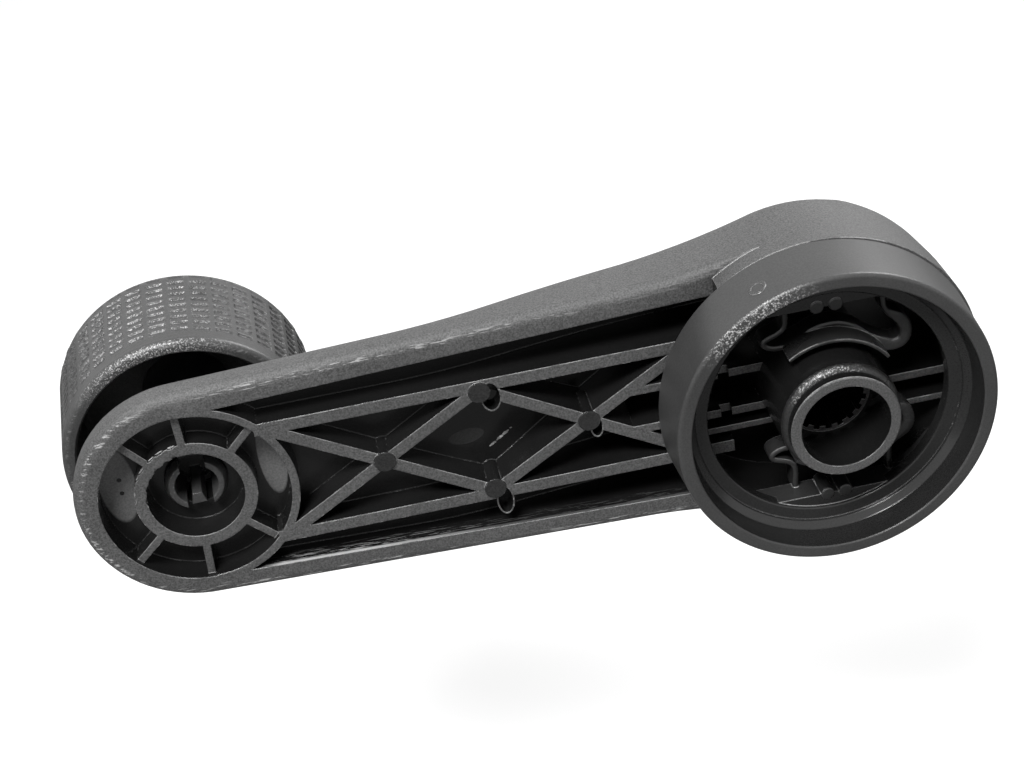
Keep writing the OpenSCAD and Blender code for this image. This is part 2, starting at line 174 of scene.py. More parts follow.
# Middle line of a leaf spring from its root on the knob side: shares of the boss's radius along X
# and of the way from boss to root along Z, with the width at each point
LEAF = [(-0.55, 1.05, LEAF_T), (-0.56, 0.43, LEAF_T), (-0.9, 0.2, LEAF_T), (-0.86, 0.04, LEAF_T),
        (-0.63, -0.02, LEAF_T), (-0.32, 0.07, LEAF_T), (-0.09, 0.26, LEAF_T), (0.3, 0.3, LEAF_T),
        (0.61, 0.13, LEAF_T), (0.88, -0.16, LEAF_T), (1.1, -0.4, LOBE_T), (1.26, -0.47, LOBE_T),
        (1.42, -0.4, LOBE_T), (1.48, -0.16, LOBE_T), (1.4, 0.1, LOBE_T), (1.15, 0.38, LEAF_T),
        (1.11, 0.7, LEAF_T), (1.11, 1.05, LEAF_T)]
# The stretch of the middle line that arches beside the boss and carries the web
ARCH = slice(5, 11)


# Meshes

def to_object(bm, name, *materials):
    """Makes an object of a bmesh whose numbers are in metres."""
    mesh = bpy.data.meshes.new(name)
    bm.to_mesh(mesh)
    bm.free()
    for material in materials:
        mesh.materials.append(material)
    obj = bpy.data.objects.new(name, mesh)
    bpy.context.scene.collection.objects.link(obj)
    return obj


def shade(bm):
    """Smooth faces, with the sharp edges kept crisp."""
    limit = math.radians(28)
    for face in bm.faces:
        face.smooth = True
    for edge in bm.edges:
        edge.smooth = len(edge.link_faces) == 2 and edge.calc_face_angle(0.0) < limit


def weigh_normals(obj):
    """Keeps large flat faces flat beside the rounded edges."""
    weighted = obj.modifiers.new("weighted", "WEIGHTED_NORMAL")
    weighted.keep_sharp = True
    weighted.weight = 100


def put(bm, x, y, z):
    """A new vertex at a place in mm."""
    return bm.verts.new((x * MM, y * MM, z * MM))


def filleted(corners, steps=4):
    """Rounds a closed outline of (a, b, radius) corners, and returns its (a, b) points. A rounding
    takes less than half of the sides beside it."""
    points = []
    for i, (a, b, radius) in enumerate(corners):
        here = Vector((a, b))
        back = Vector(corners[i - 1][:2]) - here
        on = Vector(corners[(i + 1) % len(corners)][:2]) - here
        if radius == 0:
            points.append(here)
            continue
        half = back.angle(on) / 2
        reach = min(radius / math.tan(half), 0.48 * back.length, 0.48 * on.length)
        radius = reach * math.tan(half)
        middle = here + (back.normalized() + on.normalized()).normalized() * (radius / math.sin(half))
        first = here + back.normalized() * reach - middle
        last = here + on.normalized() * reach - middle
        sweep = first.angle_signed(last)
        for k in range(steps + 1):
            points.append(middle + Matrix.Rotation(-sweep * k / steps, 2) @ first)
    return [tuple(p) for p in points]


def join_rows(bm, rows, closed=True):
    """Faces between closed rows of vertices. closed joins the last row to the first too."""
    count = len(rows[0])
    for i in range(len(rows) if closed else len(rows) - 1):
        a, b = rows[i], rows[(i + 1) % len(rows)]
        for k in range(count):
            m = (k + 1) % count
            corners = list(dict.fromkeys((a[k], a[m], b[m], b[k])))
            if len(corners) > 2:
                bm.faces.new(corners)


def lathe(bm, profile, steps, x=0.0, z=0.0, dent=None):
    """Turns a closed (radius, y) outline about a line along Y. dent(turn, r, y) sinks the surface."""
    rows = []
    for k in range(steps):
        turn = TURN * k / steps
        row = []
        for r, y in profile:
            deep = dent(turn, r, y) if dent else 0.0
            row.append(put(bm, x + (r - deep) * math.cos(turn), y, z + (r - deep) * math.sin(turn)))
        rows.append(row)
    join_rows(bm, rows)


def close_ends(bm, rows):
    """Faces over the first row and the last."""
    bm.faces.new(rows[0])
    bm.faces.new(rows[-1])


def prism(bm, outline, y0, y1):
    """A closed block over an (x, z) outline between two heights."""
    low = [put(bm, x, y0, z) for x, z in outline]
    high = [put(bm, x, y1, z) for x, z in outline]
    join_rows(bm, [low, high], closed=False)
    bm.faces.new(low)
    bm.faces.new(high)


def finish_shells(bm):
    """Joins doubled vertices, and turns all faces outwards."""
    bmesh.ops.remove_doubles(bm, verts=bm.verts, dist=0.001 * MM)
    bmesh.ops.recalc_face_normals(bm, faces=bm.faces)
    shade(bm)


def dress(obj, body, node):
    """Puts a piece on its body, in its node's place, and hides the node."""
    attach(obj, body)
    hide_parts(node)


# Arm: the solid with its outer edges rounded, and with small marks and chips cut into it

def outward(p):
    """Direction out of the arm's plan at a point, and the distance from the plan's midline, in mm."""
    x, z = p.x / MM, p.z / MM
    start = -ARM_LEN if x < -ARM_LEN else min(x, 0.0)
    spoke = Vector((x - start, 0, z))
    return spoke.normalized(), spoke.length


def is_outer_wall(face):
    way, reach = outward(face.calc_center_median())
    return abs(face.normal.y) < 0.2 and reach > WALL_REACH and face.normal.dot(way) > 0.3


def is_back_plane(face):
    """Whether a face is the flat end of the side wall or lies as far back."""
    return face.normal.y < -0.9 and face.calc_center_median().y > (BACK_Y - OVERLAP) * MM


def is_front(face):
    return face.normal.y > 0.6


def rim_edges(bm, wanted):
    """Each sharp convex edge between the outer wall and a face that wanted() accepts, with its faces."""
    sharp = math.radians(40)
    found = {}
    for edge in bm.edges:
        if len(edge.link_faces) != 2 or not edge.is_convex or edge.calc_face_angle(0.0) < sharp:
            continue
        a, b = edge.link_faces
        if is_outer_wall(a) and wanted(b):
            found[edge] = (a, b)
        elif is_outer_wall(b) and wanted(a):
            found[edge] = (b, a)
    return found


def rim_chain(edges):
    """The vertices of the longest row of edges in order, and whether the row is closed."""
    links = {}
    for edge in edges:
        for vert in edge.verts:
            links.setdefault(vert, []).append(edge)
    longest, used = [], set()
    for here in sorted(links, key=lambda vert: len(links[vert])):
        chain = [here]
        while True:
            ahead = [edge for edge in links[here] if edge not in used]
            if not ahead:
                break
            used.add(ahead[0])
            here = ahead[0].other_vert(here)
            chain.append(here)
        longest = max(longest, chain, key=len)
    closed = longest[0] is longest[-1]
    return (longest[:-1] if closed else longest), closed


def into_face(edge, face, other):
    """Direction in a face, square to its edge, away from the other face's outside."""
    way = (edge.verts[1].co - edge.verts[0].co).cross(face.normal).normalized()
    return -way if way.dot(other.normal) > 0 else way


def sweep_cutter(cutter, edges, radius, steps):
    """Adds the closed bar that leaves a rounding along a row of rim edges, its radius by the place."""
    chain, closed = rim_chain(edges)
    past = 0.05 * MM
    rows = []
    for vert in chain:
        near = [edge for edge in vert.link_edges if edge in edges]
        flat_way, wall_way = Vector(), Vector()
        for edge in near:
            wall, flat = edges[edge]
            flat_way += into_face(edge, flat, wall)
            wall_way += into_face(edge, wall, flat)
        flat_way.normalize()
        wall_way.normalize()
        corner = vert.co.copy()
        if len(near) == 1:
            corner += (near[0].other_vert(vert).co - corner).normalized() * past
        r = radius(vert.co) * MM
        section = [corner - (flat_way + wall_way) * past]
        section.append(corner + (r + past) * flat_way - past * wall_way)
        for k in range(steps + 1):
            turn = math.pi / 2 * k / steps
            inward = r * (1 - math.sin(turn)) * flat_way
            section.append(corner + inward + r * (1 - math.cos(turn)) * wall_way)
        section.append(corner + (r + past) * wall_way - past * flat_way)
        rows.append([cutter.verts.new(p) for p in section])
    join_rows(cutter, rows, closed=closed)
    if not closed:
        close_ends(cutter, rows)


def cad_copy(node):
    """A clean bmesh of a CAD node."""
    bm = bmesh.new()
    bm.from_mesh(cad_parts[node].data)
    bmesh.ops.remove_doubles(bm, verts=bm.verts, dist=0.002 * MM)
    for layer in list(bm.loops.layers.float_vector.values()):
        bm.loops.layers.float_vector.remove(layer)
    bm.normal_update()
    return bm


def carve(obj, cutter):
    """Takes a cutter, given as a bmesh, away from the object's mesh."""
    bmesh.ops.recalc_face_normals(cutter, faces=cutter.faces)
    tool = to_object(cutter, "cutter")
    cut = obj.modifiers.new("cut", "BOOLEAN")
    cut.operation = "DIFFERENCE"
    cut.solver = "EXACT"
    cut.object = tool
    mesh = bpy.data.meshes.new_from_object(obj.evaluated_get(bpy.context.evaluated_depsgraph_get()))
    obj.modifiers.remove(cut)
    obj.data = mesh
    bpy.data.objects.remove(tool)


def back_round(p):
    """The back edge's rounding, which runs out where the hub's step meets the outer wall."""
    return min(BACK_ROUND, max(math.hypot(p.x, p.z) / MM - HUB_STEP_R, LEAST_ROUND))


def boss_cut():
    """Section of the ring that leaves a rounded shoulder on the boss."""
    turn = [math.pi / 2 * k / 6 for k in range(7)]
    inner = BOSS_R - SHOULDER
    outer = BOSS_R + 0.3
    top = COLLAR_H - OVERLAP
    arc = [(inner + SHOULDER * math.sin(t), COLLAR_H + SHOULDER * (1 - math.cos(t))) for t in turn]
    return [(inner, top), (outer, top), (outer, COLLAR_H + SHOULDER)] + arc[::-1]


def oval(x, z, half_x, half_z, grown=0.0):
    """Points of an oval in plan, which may be grown outwards."""
    turns = [TURN * k / OVAL_STEPS for k in range(OVAL_STEPS)]
    return [(x + (half_x + grown) * math.cos(t), z + (half_z + grown) * math.sin(t)) for t in turns]


def recess_rim(bm, recess):
    """The thin standing rim round an oval recess."""
    inner = oval(*recess)
    outer = oval(*recess, RECESS_RIM)
    foot, top = RECESS_FOOT_Y, RECESS_TOP_Y
    section = [(inner, foot), (inner, top), (outer, top), (outer, foot)]
    rows = []
    for i in range(OVAL_STEPS):
        rows.append([put(bm, points[i][0], y, points[i][1]) for points, y in section])
    join_rows(bm, rows)


def tube_chips(cutter):
    """Small notches along both edges of the bearing tube's chipped part."""
    start, end = CHIPPED
    for edge_r, count in CHIPS:
        for k in range(count):
            turn = math.radians(start + (end - start) * (k + CHANCE.uniform(0.35, 0.65)) / count)
            length, depth = CHANCE.uniform(0.35, 0.75), CHANCE.uniform(0.18, 0.42)
            outline = []
            for i in range(8):
                along = turn + length * math.cos(TURN * i / 8) / edge_r
                r = edge_r + depth * math.sin(TURN * i / 8) * CHANCE.uniform(0.6, 1.0)
                outline.append((r * math.cos(along) - ARM_LEN, r * math.sin(along)))
            prism(cutter, outline, TUBE_END_Y - OVERLAP / 2, TUBE_END_Y + CHANCE.uniform(0.25, 0.55))


def is_outside(face):
    """Whether a face of the arm belongs to its grained outside or to its back rim."""
    middle = face.calc_center_median()
    way, reach = outward(middle)
    on_rim = face.normal.y < -0.12 and middle.y < (BACK_Y + WALL_RIM_H) * MM
    on_wall = face.normal.dot(way) > 0.3 and reach > WALL_REACH
    return face.normal.y > 0.05 or on_rim or on_wall


def is_dark_and_shaded_grain(face):
    """Whether a face belongs to the boss's shoulder, which gets painted shade, or to a post's end, which
    is darker.
    """
    middle = face.calc_center_median() / MM
    if math.hypot(middle.x, middle.z) < BOSS_R + OVERLAP:
        return COLLAR_H - 2 * OVERLAP < middle.y < COLLAR_H + SHOULDER
    return face.normal.y < -0.9 and abs(middle.y - POST_END_Y) < 0.1


def arm_cutters(bm):
    """The cutters for the rounded edges, for the marks and for the chips. They are separate, because
    shapes that cross each other in one cutter make the cut fail."""
    rims = bmesh.new()
    sweep_cutter(rims, rim_edges(bm, is_back_plane), back_round, 5)
    sweep_cutter(rims, rim_edges(bm, is_front), lambda p: FRONT_ROUND, 9)
    marks = bmesh.new()
    lathe(marks, boss_cut(), HUB_STEPS)
    for recess in RECESSES:
        prism(marks, oval(*recess), BACK_Y - OVERLAP, RECESS_FOOT_Y)
    chips = bmesh.new()
    tube_chips(chips)
    return rims, marks, chips


def build_arm(*materials):
    """The arm, with its grained, smooth and darker grained materials in that order; the darker grain is
    painted shade on the boss's shoulder.
    """
    bm = cad_copy("crank_arm")
    cutters = arm_cutters(bm)
    arm = to_object(bm, "arm_shell", *materials)
    for cutter in cutters:
        carve(arm, cutter)
    bm = bmesh.new()
    bm.from_mesh(arm.data)
    for recess in RECESSES:
        recess_rim(bm, recess)
    bm.normal_update()
    shade(bm)
    for face in bm.faces:
        face.material_index = 2 if is_dark_and_shaded_grain(face) else 0 if is_outside(face) else 1
    bm.to_mesh(arm.data)
    bm.free()
    weigh_normals(arm)
    return arm


# Lock ring: lathed shell, two roots with stubs and two smooth leaf springs

def ring_profile():
    """Section of the ring: its side, its lip, the dish inside and the hollow behind it."""
    inside = RING_R - RING_T
    behind = HOLE_R + HOLE_WALL_T
    side = [(RING_R, RING_BASE_Y, 0.25), (RING_TOP_R, RING_TOP_Y, RING_LIP_ROUND),
            (RING_LIP_IN_R, RING_TOP_Y, 0.25)]
    dish = [(WELL_R, WELL_Y, 0.3), (SHELF_TOP_R, SHELF_TOP_Y, 0.15), (SHELF_FOOT_R, SHELF_FOOT_Y, 0.1),
            (HOLE_R, HOLE_Y, 0.35), (HOLE_R, HOLE_FOOT_Y, 0.2)]
    hollow = [(behind, HOLE_FOOT_Y, 0.2), (behind + 0.2, HOLLOW_Y + 1.0, 0.2),
              (inside - 0.5, HOLLOW_Y, 0.3), (inside, RING_BASE_Y, 0.2)]
    return filleted(side + dish + hollow)


def spline(points, steps):
    """A smooth row of points through the given ones, with the same number of steps between them."""
    row = []
    for i in range(len(points) - 1):
        a, b = Vector(points[i]), Vector(points[i + 1])
        before = Vector(points[i - 1]) if i > 0 else 2 * a - b
        after = Vector(points[i + 2]) if i + 2 < len(points) else 2 * b - a
        for k in range(steps):
            t = k / steps
            row.append(0.5 * (2 * a + (b - before) * t + (2 * before - 5 * a + 4 * b - after) * t ** 2
                              + (3 * a - before - 3 * b + after) * t ** 3))
    row.append(Vector(points[-1]))
    return row


def on_leaf(point):
    return point[0] * BOSS_R + RING_X, BOSS_R + point[1] * (ROOT_Z - BOSS_R)


def leaf_spring(bm, side):
    """A band of rounded section along the leaf's middle line."""
    soft_y = LEAF_TOP_Y + LEAF_SOFT
    turns = [math.pi * k / 6 for k in range(1, 6)]
    crown = [(-math.cos(t), LEAF_TOP_Y + LEAF_SOFT * (1 - math.sin(t))) for t in turns]
    section = [(-1, LEAF_FOOT_Y), (-1, soft_y)] + crown + [(1, soft_y), (1, LEAF_FOOT_Y)]
    path = spline([on_leaf(p) + (p[2],) for p in LEAF], 6)
    rows = []
    for i, (x, z, width) in enumerate(path):
        ahead = path[min(i + 1, len(path) - 1)] - path[max(i - 1, 0)]
        across = Vector((-ahead.y, ahead.x)).normalized() * (width / 2)
        rows.append([put(bm, x + u * across.x, y, side * (z + u * across.y)) for u, y in section])
    join_rows(bm, rows, closed=False)
    close_ends(bm, rows)


def jaw_edge(x):
    """Z of the jaw that clears the boss over the ring's travel."""
    off = x if x < 0 else max(x - TRAVEL, 0.0)
    return math.sqrt(max(JAW_R ** 2 - off ** 2, 0.0))


def jaw_web(bm, side):
    """The thin web between a spring's arch and the boss."""
    arch = spline([on_leaf(p) for p in LEAF[ARCH]], 6)
    rows = []
    for x, z in arch:
        near = min(jaw_edge(x), z - WEB_LEAST)
        section = [(RING_BASE_Y, z), (RING_BASE_Y, near), (LEAF_FOOT_Y, near), (LEAF_FOOT_Y, z)]
        rows.append([put(bm, x, y, side * w) for y, w in section])
    join_rows(bm, rows, closed=False)
    close_ends(bm, rows)


def spring_root(bm, side):
    """A straight-edged block across the ring, with two round stubs."""
    steps = 24
    reach = RING_R - RING_T + 2 * OVERLAP
    half = math.acos(ROOT_Z / reach)
    outline = []
    for k in range(steps + 1):
        turn = math.pi / 2 - half + 2 * half * k / steps
        outline.append((RING_X + reach * math.cos(turn), side * reach * math.sin(turn)))
    prism(bm, outline, ROOT_Y, RING_BASE_Y)
    top = ROOT_Y - STUB_PROUD
    stub = filleted([(0, RING_BASE_Y, 0), (STUB_R, RING_BASE_Y, 0), (STUB_R, top, 0.25), (0, top, 0)], 3)
    for x in STUB_X:
        lathe(bm, stub, 24, RING_X + x, side * (ROOT_Z + OVERLAP))


def jaw_wall(bm, side):
    """The upright wall that a spring holds against the boss."""
    steps = 40
    outer = JAW_WALL_R + JAW_WALL_T
    profile = filleted([(JAW_WALL_R, LEAF_FOOT_Y, 0), (JAW_WALL_R, JAW_WALL_Y, 0.15),
                        (outer, JAW_WALL_Y, 0.15), (outer, LEAF_FOOT_Y, 0)], 3)
    start, end = (math.acos(x / JAW_WALL_R) for x in JAW_WALL_X)
    rows = []
    for k in range(steps + 1):
        turn = start + (end - start) * k / steps
        rows.append([put(bm, r * math.cos(turn), y, side * r * math.sin(turn)) for r, y in profile])
    join_rows(bm, rows, closed=False)
    close_ends(bm, rows)


def ejector_mark(bm):
    """A thin raised circle on the lock ring's side."""
    steps = 32
    out = Vector((math.cos(MARK_TURN), 0, math.sin(MARK_TURN)))
    along = Vector((-out.z, 0, out.x))
    shell_r = RING_TOP_R + (RING_R - RING_TOP_R) * (MARK_Y - RING_TOP_Y) / (RING_BASE_Y - RING_TOP_Y)
    rows = []
    for k in range(steps):
        turn = TURN * k / steps
        spoke = along * math.cos(turn) + Vector((0, math.sin(turn), 0))
        row = []
        for away, high in MARK_SECTION:
            side = spoke * (MARK_R + away)
            radius = math.sqrt(shell_r ** 2 - side.dot(along) ** 2) + high
            p = out * radius + side
            row.append(put(bm, RING_X + p.x, MARK_Y + p.y, p.z))
        rows.append(row)
    join_rows(bm, rows)


def ring_part(face):
    """The material's number for a face: outside, dish or springs."""
    middle = face.calc_center_median() - Vector((RING_X, 0, 0)) * MM
    spoke = Vector((middle.x, 0, middle.z))
    if spoke.length < (HOLE_R - 0.5) * MM:
        return 2
    beyond_lip = middle.y > (RING_TOP_Y + RING_LIP_ROUND) * MM
    return 1 if beyond_lip and face.normal.dot(spoke.normalized()) < 0.3 else 0


def build_ring(*materials):
    """The lock ring, with its outside, dish and spring materials in that order."""
    bm = bmesh.new()
    lathe(bm, ring_profile(), RING_STEPS, RING_X)
    for side in (-1, 1):
        leaf_spring(bm, side)
        jaw_web(bm, side)
        jaw_wall(bm, side)
        spring_root(bm, side)
    ejector_mark(bm)
    finish_shells(bm)
    for face in bm.faces:
        face.material_index = ring_part(face)
    ring = to_object(bm, "ring_shell", *materials)
    weigh_normals(ring)
    return ring


# Knob: gripped cup, inner tube and split stem, all leaning with its axis

def grip_dent(turn, r, y):
    """Depth of the grip: columns of short bars between smooth strips."""
    if r < LIP_R - 0.3 or not GRIP_START_Y < y < GRIP_END_Y:
        return 0.0
    around = (turn * GRIP_COLUMNS / TURN) % 1.0
    along = ((y - GRIP_START_Y) * GRIP_BARS / (GRIP_END_Y - GRIP_START_Y)) % 1.0
    in_bar = BAR_AROUND[0] < around < BAR_AROUND[1] and BAR_ALONG[0] < along < BAR_ALONG[1]
    return GRIP_DEPTH if in_bar else 0.0


def cup_profile():
    """Outline of the cup, with enough points along the grip for its bars."""
    pitch = (GRIP_END_Y - GRIP_START_Y) / GRIP_BARS
    corner_y = KNOB_FRONT_Y - CORNER_R
    shares = [0.0] + [end + flank for end in BAR_ALONG for flank in (-BAR_FLANK, BAR_FLANK)]
    wall = [(LIP_R, LIP_Y + 1.2), (LIP_R, LIP_Y + 1.6)]
    for i in range(GRIP_BARS):
        for share in shares:
            y = GRIP_START_Y + pitch * (i + share)
            wall.append((LIP_R + (KNOB_R - LIP_R) * (y - LIP_Y) / (corner_y - LIP_Y), y))
    wall = [(min(r, KNOB_R), y) for r, y in wall if y < corner_y]
    turns = [math.pi / 2 * k / 8 for k in range(9)]
    corner = [(KNOB_R - CORNER_R * (1 - math.cos(t)), corner_y + CORNER_R * math.sin(t)) for t in turns]
    turns = [math.pi * k / 12 for k in range(6, -1, -1)]
    lip_r = LIP_R - LIP_ROUND
    lip_y = LIP_Y + LIP_ROUND
    lip = [(lip_r + LIP_ROUND * math.cos(t), lip_y - LIP_ROUND * math.sin(t)) for t in turns]
    inside = LIP_R - KNOB_WALL_T
    floor = KNOB_FRONT_Y - KNOB_END_T
    hollow = [(0, KNOB_FRONT_Y), (0, floor), (inside - KNOB_BEVEL, floor), (inside, floor - KNOB_BEVEL),
              (inside, LIP_Y + 0.4), (inside + 0.3, LIP_Y)]
    return hollow + lip + wall + corner


def core_profile():
    """Outline of the inner tube, which is solid, and of the stem's foot."""
    inner = STEM_R - STEM_T
    top = KNOB_FRONT_Y - 1
    return filleted([
        (0, top, 0), (CORE_R, top, 0), (CORE_R, CORE_Y, 0.4), (STEM_R, CORE_Y, 0.2),
        (STEM_R, SLOT_FOOT_Y, 0), (inner, SLOT_FOOT_Y, 0), (inner, STEM_FLOOR_Y, 0),
        (0, STEM_FLOOR_Y, 0)])


def split_stem(bm, side):
    """One half of the stem with its hook, cut flat beside the slot."""
    steps = 24
    inner = STEM_R - STEM_T
    hook = STEM_R + HOOK_T
    foot = SLOT_FOOT_Y + 2 * OVERLAP
    profile = filleted([
        (inner, foot, 0), (inner, STEM_TIP_Y, 0.2), (STEM_R, STEM_TIP_Y, 0.2),
        (hook, HOOK_Y - 0.3, 0.15), (hook, HOOK_Y, 0), (STEM_R, HOOK_Y, 0), (STEM_R, foot, 0)], 3)
    rows = []
    for k in range(steps + 1):
        share = 2 * k / steps - 1
        row = []
        for r, y in profile:
            turn = share * math.acos(SLOT_W / 2 / r)
            row.append(put(bm, -ARM_LEN + side * r * math.cos(turn), y, r * math.sin(turn)))
        rows.append(row)
    join_rows(bm, rows, closed=False)
    close_ends(bm, rows)


def build_knob(material):
    """The knob in one material, built upright and then leant about its pivot."""
    bm = bmesh.new()
    lathe(bm, cup_profile(), GRIP_COLUMNS * COLUMN_STEPS, -ARM_LEN, dent=grip_dent)
    lathe(bm, core_profile(), CORE_STEPS, -ARM_LEN)
    for side in (-1, 1):
        split_stem(bm, side)
    prism(bm, CATCH, CATCH_Y, STEM_FLOOR_Y + 3 * OVERLAP)
    pivot = PIVOT * MM
    bmesh.ops.rotate(bm, verts=bm.verts, cent=pivot, matrix=Matrix.Rotation(LEAN, 3, "Z"))
    finish_shells(bm)
    knob = to_object(bm, "knob_shell", material)
    weigh_normals(knob)
    return knob


# Materials

# Sizes of the noises, in cells per metre
CLOUDS = 55.0
FLECKS = 1500.0
FLECK_PLACES = 110.0
RUBBED_STREAKS = 3000.0
RUBBED_PLACES = 38.0
LINE_BREAKS = 420.0
PAINTED_GLINTS = 4200.0
SCRAPE_HIGHLIGHT_STREAKS = 4800.0
SPECKLE = 4500.0
# Tone of rubbed and scratched plastic, and of the painted highlights
WEAR_AND_HIGHLIGHT_TONE = 0.62


class Nodes:
    """Short calls for building a node tree."""

    def __init__(self, tree):
        self.tree = tree

    def add(self, kind, **values):
        node = self.tree.nodes.new(kind)
        for key, value in values.items():
            setattr(node, key, value)
        return node

    def link(self, source, target):
        self.tree.links.new(source, target)

    def feed(self, socket, value):
        if isinstance(value, bpy.types.NodeSocket):
            self.link(value, socket)
        else:
            socket.default_value = value

    def noise(self, where, scale, detail=2.0, rough=0.5):
        node = self.add("ShaderNodeTexNoise")
        self.link(where, node.inputs["Vector"])
        node.inputs["Scale"].default_value = scale
        node.inputs["Detail"].default_value = detail
        node.inputs["Roughness"].default_value = rough
        return node.outputs["Fac"]

    def oval(self, where, x, z, half_x, half_z, soft=0.09):
        """One inside an oval in plan, given in mm, and nothing outside it."""
        off = self.add("ShaderNodeVectorMath", operation="MULTIPLY_ADD")
        self.link(where, off.inputs[0])
        off.inputs[1].default_value = (1 / (half_x * MM), 0, 1 / (half_z * MM))
        off.inputs[2].default_value = (-x / half_x, 0, -z / half_z)
        size = self.add("ShaderNodeVectorMath", operation="LENGTH")
        self.link(off.outputs["Vector"], size.inputs[0])
        return self.ramp(size.outputs["Value"], 1.0, 1.0 - soft)

    def vector(self, kind, a, b):
        node = self.add("ShaderNodeVectorMath", operation=kind)
        self.feed(node.inputs[0], a)
        self.feed(node.inputs[1], b)
        return node.outputs

    def parts(self, vector):
        """The X, Y and Z of a vector."""
        node = self.add("ShaderNodeSeparateXYZ")
        self.link(vector, node.inputs[0])
        return node.outputs

    def math(self, kind, a, b):
        node = self.add("ShaderNodeMath", operation=kind)
        self.feed(node.inputs[0], a)
        self.feed(node.inputs[1], b)
        return node.outputs[0]

    def product(self, first, *others):
        for other in others:
            first = self.math("MULTIPLY", first, other)
        return first

    def highest(self, first, *others):
        for other in others:
            first = self.math("MAXIMUM", first, other)
        return first

    def ramp(self, value, low, high, to_low=0.0, to_high=1.0):
        """A value between low and high brought between two others, and held at them beyond."""
        node = self.add("ShaderNodeMapRange", clamp=True)
        self.link(value, node.inputs["Value"])
        node.inputs["From Min"].default_value = low
        node.inputs["From Max"].default_value = high
        node.inputs["To Min"].default_value = to_low
        node.inputs["To Max"].default_value = to_high
        return node.outputs["Result"]

    def mix(self, factor, a, b):
        node = self.add("ShaderNodeMix", data_type="RGBA")
        self.feed(node.inputs["Factor"], factor)
        self.feed(node.inputs[6], a)
        self.feed(node.inputs[7], b)
        return node.outputs[2]

    def mix_number(self, factor, a, b):
        node = self.add("ShaderNodeMix", data_type="FLOAT")
        self.feed(node.inputs["Factor"], factor)
        self.feed(node.inputs[2], a)
        self.feed(node.inputs[3], b)
        return node.outputs[0]


class Surface:
    """What the wear and the painted highlights follow: the place, the way the surface faces, and how
    near an edge it is.
    """

    def __init__(self, nodes, edge):
        normal = nodes.add("ShaderNodeNewGeometry").outputs["Normal"]
        bevel = nodes.add("ShaderNodeBevel", samples=4)
        bevel.inputs["Radius"].default_value = edge * MM
        self.where = nodes.add("ShaderNodeTexCoord").outputs["Object"]
        self.soft_normal = bevel.outputs["Normal"]
        self.flatness = nodes.vector("DOT_PRODUCT", self.soft_normal, normal)["Value"]
        self.at_edge = nodes.ramp(self.flatness, 0.985, 0.86)
        self.facing = nodes.parts(normal)
        self.soft_facing = nodes.parts(self.soft_normal)

    def drawn_noise(self, nodes, scale, along):
        """A noise that is drawn out along the arm."""
        drawn = nodes.vector("MULTIPLY", self.where, (along, 1.0, 1.0))["Vector"]
        return nodes.noise(drawn, scale, 3.0, 0.7)


def grey(value):
    return (value, value, value, 1.0)


def edge_flecks(nodes, surface, amount):
    """Pale flecks in scattered places along the edges."""
    flecks = nodes.ramp(nodes.noise(surface.where, FLECKS, 3.0, 0.7), 0.52, 0.66)
    places = nodes.ramp(nodes.noise(surface.where, FLECK_PLACES), 0.47, 0.62)
    return nodes.product(surface.at_edge, flecks, places, amount)


def rubbed_streaks(nodes, surface, amount):
    """Fine streaks along the rounding between the sides and the back."""
    leaves_back = nodes.ramp(surface.facing["Y"], -0.998, -0.98)
    before_side = nodes.ramp(surface.facing["Y"], -0.75, -0.9)
    streaks = nodes.ramp(surface.drawn_noise(nodes, RUBBED_STREAKS, 0.1), 0.53, 0.6)
    places = nodes.ramp(nodes.noise(surface.where, RUBBED_PLACES, 1.0), 0.42, 0.6, 0.15, 1.0)
    return nodes.product(leaves_back, before_side, streaks, places, amount)


def painted_edge_highlight(nodes, surface, amount):
    """A broken bright line on edges that face up across the arm: a painted highlight where light from
    above catches them.
    """
    at_line = nodes.ramp(surface.flatness, 0.975, 0.92)
    faces_up = nodes.ramp(surface.soft_facing["Z"], 0.3, 0.6)
    breaks = nodes.noise(surface.where, LINE_BREAKS, 3.0, 0.6)
    return nodes.product(at_line, faces_up, nodes.ramp(breaks, 0.38, 0.5, 0.15, amount))


def painted_glints(nodes, surface, place):
    """Painted highlight: tiny bright glints in an oval place, on what faces the back."""
    points = nodes.ramp(nodes.noise(surface.where, PAINTED_GLINTS, 2.0, 0.7), 0.52, 0.66)
    faces_back = nodes.ramp(surface.facing["Y"], -0.2, -0.5)
    return nodes.product(points, faces_back, nodes.oval(surface.where, *place, soft=0.6))


def painted_scrape_streaks(nodes, surface, amount):
    """Bright streaks and a line inside the lower wall, close to its back edge: a painted highlight where
    light from above falls on its scratched, up-facing inner face.
    """
    place = nodes.parts(surface.where)
    start, full, fading, faint = (x * MM for x in SCRAPE_HIGHLIGHT_X)
    near, far = ((BACK_Y + height) * MM for height in SCRAPE_HIGHLIGHT_H)
    line_near, line_far = ((BACK_Y + height) * MM for height in SCRAPE_HIGHLIGHT_LINE_H)
    faces_up = nodes.ramp(surface.facing["Z"], 0.5, 0.8)
    on_wall = nodes.ramp(place["Z"], SCRAPE_HIGHLIGHT_Z[0] * MM, SCRAPE_HIGHLIGHT_Z[1] * MM)
    near_edge = nodes.ramp(place["Y"], far, near)
    along = nodes.product(nodes.ramp(place["X"], faint, fading, 0.12, amount),
                          nodes.ramp(place["X"], start, full))
    streaks = nodes.ramp(surface.drawn_noise(nodes, SCRAPE_HIGHLIGHT_STREAKS, 0.05), 0.54, 0.64)
    streaks = nodes.highest(streaks, nodes.ramp(place["Y"], line_far, line_near))
    return nodes.product(faces_up, on_wall, near_edge, along, streaks)


